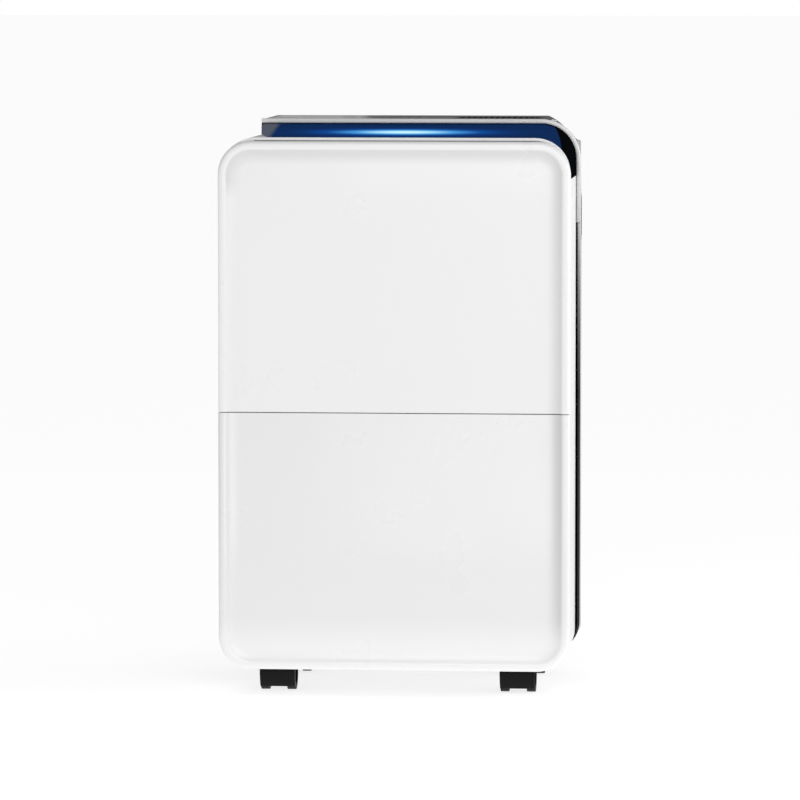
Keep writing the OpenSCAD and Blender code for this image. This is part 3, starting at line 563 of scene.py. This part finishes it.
def panel_profile():
    """Inset and depth of the panel's face from the back edge, over the lip and down the cove."""
    rows = [(0.5, PANEL_BACK), (0.0, PANEL_BACK - 0.5), (0.0, 4.0)]
    for k in range(1, 8):
        a = math.radians(90.0 * k / 8)
        rows.append((4.0 - 4.0 * math.cos(a), 4.0 - 4.0 * math.sin(a)))
    rows.append((4.0, 0.0))
    span = COVE_START - LIP_CREST
    reach = COVE_END - COVE_START
    slope = DISH / (span / 2 + reach / 4)
    for k in range(6):
        t = span * k / 5
        rows.append((LIP_CREST + t, slope * t * t / (2 * span)))
    for k in range(1, 17):
        u = k / 16
        rows.append((COVE_START + u * reach,
                     slope * span / 2 + slope * reach / 4 * (1 - (1 - u) ** 4)))
    return rows


def panel_piece(name, node, keep_above):
    bm = bmesh.new()
    rings = [[point(x, d, z) for x, z in outline(*PANEL, inset=t)] for t, d in panel_profile()]
    loft(bm, rings)
    cut = SEAM_Z + (SEAM_HALF if keep_above else -SEAM_HALF)
    side = 1 if keep_above else -1
    parts = list(bm.verts) + list(bm.edges) + list(bm.faces)
    result = bmesh.ops.bisect_plane(bm, geom=parts, plane_co=point(0, 0, cut),
                                    plane_no=(0, 0, -side), clear_outer=True, dist=1e-7)
    rim = [g for g in result["geom_cut"] if isinstance(g, bmesh.types.BMEdge)]
    bmesh.ops.contextual_create(bm, geom=rim)
    clean(bm)
    seam = [e for e in bm.edges if abs(e.calc_face_angle(0.0)) > math.radians(60)
            and all(abs(v.co.z - cut * MM) < 1e-6 for v in e.verts)]
    bmesh.ops.bevel(bm, geom=seam, offset=0.0006, segments=2, profile=0.5, affect="EDGES",
                    clamp_overlap=True)
    clean(bm)
    if not keep_above:
        bm = carve(bm, [PULL])
    return make_piece(name, bm, SLOT_OF[node], BODY_OF[node], (node,), angle=30.0,
                      material="panel_white")


# ---------------------------------------------------------------- console and trim

CONSOLE_FRONT = 10.3
CONSOLE_REAR = 105.7
CONSOLE_R = 35.0
CONSOLE_X = 140.3
BODY_RIGHT = 175.3
WRAP_Z = 518.0
BAND_FRONT_Z = 559.1
BAND_RISE = 10.7
BAND_LEFT = -127.0
BAND_SPREAD = 16.0
BAND_UNDERSIDE = 558.8


def console_section(d, inset=0.0):
    """Outline of the display skin at one depth: the band on top, and the arm down the right side."""
    u = (d - CONSOLE_FRONT) / (CONSOLE_REAR - CONSOLE_FRONT)
    top = BAND_FRONT_Z + BAND_RISE * u - inset
    left = BAND_LEFT - BAND_SPREAD * u + inset
    turn = min(3.0, top - BAND_UNDERSIDE - 0.05)
    ring = [(left, BAND_UNDERSIDE), (CONSOLE_X + 0.3, BAND_UNDERSIDE), (CONSOLE_X + 0.3, WRAP_Z),
            (BODY_RIGHT - inset, WRAP_Z)]
    r = CONSOLE_R - inset
    for k in range(17):
        a = math.radians(90.0 * k / 16)
        ring.append((CONSOLE_X + r * math.cos(a), top - r + r * math.sin(a)))
    for k in range(1, 5):
        a = math.radians(90.0 + 90.0 * (k - 1) / 3)
        ring.append((left + turn + turn * math.cos(a), top - turn + turn * math.sin(a)))
    return [point(x, d, z) for x, z in ring]


def console_skin():
    bm = bmesh.new()
    stations = [(CONSOLE_FRONT, 0.1), (CONSOLE_FRONT + 0.4, 0.0)]
    stations += [(CONSOLE_FRONT + (CONSOLE_REAR - CONSOLE_FRONT) * k / 8, 0.0) for k in range(1, 8)]
    stations += [(CONSOLE_REAR - 0.5, 0.0), (CONSOLE_REAR, 0.5)]
    loft(bm, [console_section(d, inset) for d, inset in stations])
    clean(bm)
    make_piece("display_skin_finished", bm, "smoked_skin", BODY_OF["display_skin"],
               ("display_skin",), angle=40.0)


TRIM_LEFT = -142.9
TRIM_END_Z = 470.5


def rim_path():
    """Stations along the top, round the right shoulder and down the side."""
    mid_x, mid_z = SHOULDER_CENTRE
    path = [(TRIM_LEFT, mid_z + CONSOLE_R, 0.0, 1.0)]
    for k in range(25):
        a = math.radians(90.0 - 90.0 * k / 24)
        path.append((mid_x + CONSOLE_R * math.cos(a), mid_z + CONSOLE_R * math.sin(a),
                     math.cos(a), math.sin(a)))
    path.append((mid_x + CONSOLE_R, TRIM_END_Z, 1.0, 0.0))
    return path


def trim():
    """Thin rounded bead round the console's rear edge; the section is (out, depth)."""
    bm = bmesh.new()
    section = [(0.02, 110.0)]
    for k in range(5):
        a = math.radians(90.0 * k / 4)
        section.append((1.22 - 1.2 * math.cos(a), 107.5 - 1.2 * math.sin(a)))
    for k in range(7):
        a = math.radians(90.0 - 90.0 * k / 6)
        section.append((2.5 + 2.0 * math.cos(a), 108.3 - 2.0 * math.sin(a)))
    section.append((4.5, 110.0))
    sweep(bm, rim_path(), section)
    clean(bm)
    make_piece("trim_ring_finished", bm, "silver_trim", BODY_OF["trim_ring"], ("trim_ring",),
               angle=40.0)


# ---------------------------------------------------------------- keys

KEY_X0 = -59.0
KEY_PITCH = 19.0
KEY_D = 165.0
KEY_R = 6.5
TOP_Z = 574.5


def arc(r, start, end, steps):
    angles = (math.radians(start + (end - start) * k / steps) for k in range(steps + 1))
    return [(r * math.cos(a), r * math.sin(a)) for a in angles]


def legend_shapes(kind):
    """Plain generic symbols, as outlines about the middle of a key."""
    if kind == "power":
        return [arc(3.4, 120, 420, 20) + arc(2.7, 420, 120, 20),
                [(-0.35, 1.0), (0.35, 1.0), (0.35, 4.2), (-0.35, 4.2)]]
    if kind == "mode":
        drop = [(0.0, 3.8)] + [(u, v - 0.8) for u, v in arc(2.4, 20, -200, 16)]
        inner = [(0.0, 2.4)] + [(u, v - 0.8) for u, v in arc(1.7, 20, -200, 16)]
        return [drop + [drop[0]] + list(reversed(inner + [inner[0]]))]
    if kind == "fan":
        shapes = []
        for turn in (90, 210, 330):
            c, s = math.cos(math.radians(turn)), math.sin(math.radians(turn))
            blade = [(0.6, -0.3), (2.0, -1.1), (3.4, -0.6), (3.6, 0.5), (2.2, 0.7), (0.7, 0.4)]
            shapes.append([(u * c - v * s, u * s + v * c) for u, v in blade])
        return shapes + [arc(0.5, 0, 345, 15)]
    sign = 1.0 if kind == "up" else -1.0
    tip = [(-2.9, -1.6 * sign), (2.9, -1.6 * sign), (0.0, 2.6 * sign)]
    return [tip if sign > 0 else list(reversed(tip))]


def keys():
    for number, kind in enumerate(("power", "mode", "fan", "up", "down")):
        x = KEY_X0 + KEY_PITCH * number
        node = "key_" + kind
        bm = bmesh.new()
        cap = [(2.5, TOP_Z - 12.0), (2.5, TOP_Z - 4.2), (KEY_R, TOP_Z - 4.2), (KEY_R, TOP_Z - 0.6)]
        cap += [(KEY_R - 0.6 + u, TOP_Z - 0.6 + v) for u, v in arc(0.6, 30, 90, 2)]
        cap += [(5.0, TOP_Z - 0.1), (3.0, TOP_Z - 0.35), (0.5, TOP_Z - 0.45)]
        lathe(bm, cap, x, KEY_D)
        clean(bm)
        make_piece(node + "_finished", bm, "key", BODY_OF[node], (node,), angle=40.0)
        bm = bmesh.new()
        for shape in legend_shapes(kind):
            plate(bm, shape, x, KEY_D, TOP_Z - 0.5, TOP_Z - 0.05)
        clean(bm)
        make_piece(node + "_legend", bm, "key", BODY_OF[node], material="legend")


# ---------------------------------------------------------------- stage and lights

SKY_LEVEL = 0.34
SKY_SLOPE = (0.06, -0.12, 0.25)
SKY_LEAST = 0.05
FLOOR_REACH = 60.0
FLOOR_GLOW = 0.8


def make_stage():
    """A wide floor that glows a little, like a light table, so that it stays white."""
    mesh = bpy.data.meshes.new("floor")
    corners = [(x * FLOOR_REACH, y * FLOOR_REACH, 0) for x, y in ((-1, -1), (1, -1), (1, 1), (-1, 1))]
    mesh.from_pydata(corners, [], [(0, 1, 2, 3)])
    floor = bpy.data.objects.new("floor", mesh)
    bpy.context.scene.collection.objects.link(floor)
    mat = moulded("floor", (0.4, 0.4, 0.4), 0.85, 40.0, 0.1, specular=0.0)
    glow = mat.node_tree.nodes["Principled BSDF"].inputs
    glow["Emission Color"].default_value = (1, 1, 1, 1)
    glow["Emission Strength"].default_value = FLOOR_GLOW
    floor.data.materials.append(mat)
    bpy.context.scene.view_settings.view_transform = "Standard"


def make_world():
    """White backdrop; the light itself is brighter from above, from the front and from the right."""
    world = bpy.data.worlds.new("studio")
    world.use_nodes = True
    tree = world.node_tree
    backdrop = tree.nodes["Background"]
    backdrop.inputs["Color"].default_value = (1, 1, 1, 1)
    coord = tree.nodes.new("ShaderNodeTexCoord")
    tint = tree.nodes.new("ShaderNodeVectorMath")
    tint.operation = "DOT_PRODUCT"
    tint.inputs[1].default_value = SKY_SLOPE
    tree.links.new(coord.outputs["Generated"], tint.inputs[0])
    level = tree.nodes.new("ShaderNodeMath")
    level.operation = "ADD"
    level.inputs[1].default_value = SKY_LEVEL
    tree.links.new(tint.outputs["Value"], level.inputs[0])
    least = tree.nodes.new("ShaderNodeMath")
    least.operation = "MAXIMUM"
    least.inputs[1].default_value = SKY_LEAST
    tree.links.new(level.outputs[0], least.inputs[0])
    sky = tree.nodes.new("ShaderNodeBackground")
    tree.links.new(least.outputs[0], sky.inputs["Strength"])
    path = tree.nodes.new("ShaderNodeLightPath")
    mix = tree.nodes.new("ShaderNodeMixShader")
    tree.links.new(path.outputs["Is Camera Ray"], mix.inputs[0])
    tree.links.new(sky.outputs[0], mix.inputs[1])
    tree.links.new(backdrop.outputs[0], mix.inputs[2])
    tree.links.new(mix.outputs[0], tree.nodes["World Output"].inputs["Surface"])
    bpy.context.scene.world = world


# Name, place, target, size and power of each soft light
LAMPS = (
    ("key", (0.5, -3.2, 1.15), (0, -0.1, 0.3), (1.8, 1.8), 27.0),
    ("back", (-0.70, 2.4, 0.80), (-0.15, 0.0, 0.57), (0.9, 0.4), 0.4),
    ("side", (1.5, -0.15, 0.62), (0.18, -0.02, 0.60), (0.9, 0.6), 8.0),
)


def area_light(name, place, target, size, power):
    data = bpy.data.lights.new(name, "AREA")
    data.shape = "RECTANGLE"
    data.size, data.size_y = size
    data.energy = power
    lamp = bpy.data.objects.new(name, data)
    bpy.context.scene.collection.objects.link(lamp)
    lamp.location = place
    lamp.rotation_mode = "QUATERNION"
    lamp.rotation_quaternion = (Vector(target) - Vector(place)).to_track_quat("-Z", "Y")
    lamp.visible_camera = False


EDGE_WIDTHS = {
    "front_body": 0.4, "outlet_grille": 0.3, "inlet_grille": 0.3,
    "filter_frame": 0.6, "grip_left": 0.8, "grip_right": 0.8, "drain_nozzle": 0.6, "cord_gland": 0.8,
    "rear_screws": 0.3, "base_pan": 0.6, "chassis": 0.5, "bucket_tub": 0.8, "bucket_lid": 0.6,
    "bucket_bail": 0.8, "float": 1.0, "louver_1": 0.3, "louver_2": 0.3, "louver_3": 0.3,
    "wheels_front_left": 0.8, "wheels_front_right": 0.8,
    "wheels_rear_left": 0.8, "wheels_rear_right": 0.8, "fan_scroll": 0.6, "fan_motor": 1.0,
    "motor_bracket": 0.5, "compressor": 1.5, "accumulator": 1.5, "run_capacitor": 1.0,
    "drip_tray": 0.5, "switch_plunger": 0.3, "bucket_switch": 0.5, "control_board": 0.3,
}


def finish_cad_nodes():
    for node, width in EDGE_WIDTHS.items():
        refined(node, width)
    drawn_in("rear_shell", 1.2, "shell_gloss")
    drawn_in("top_deck", 0.3)
    for node in NODES:
        if node.startswith("caster_"):
            caster_hood(node)
    for name, piece in NODES.items():
        piece.data.materials.clear()
        piece.data.materials.append(MATERIALS[SLOT_OF[name]])


make_camera()
make_materials()
make_stage()
make_world()
panel_piece("upper_cover_finished", "upper_front_cover", True)
panel_piece("bucket_front_finished", "bucket_front", False)
console_skin()
trim()
keys()
finish_cad_nodes()
for lamp in LAMPS:
    area_light(*lamp)
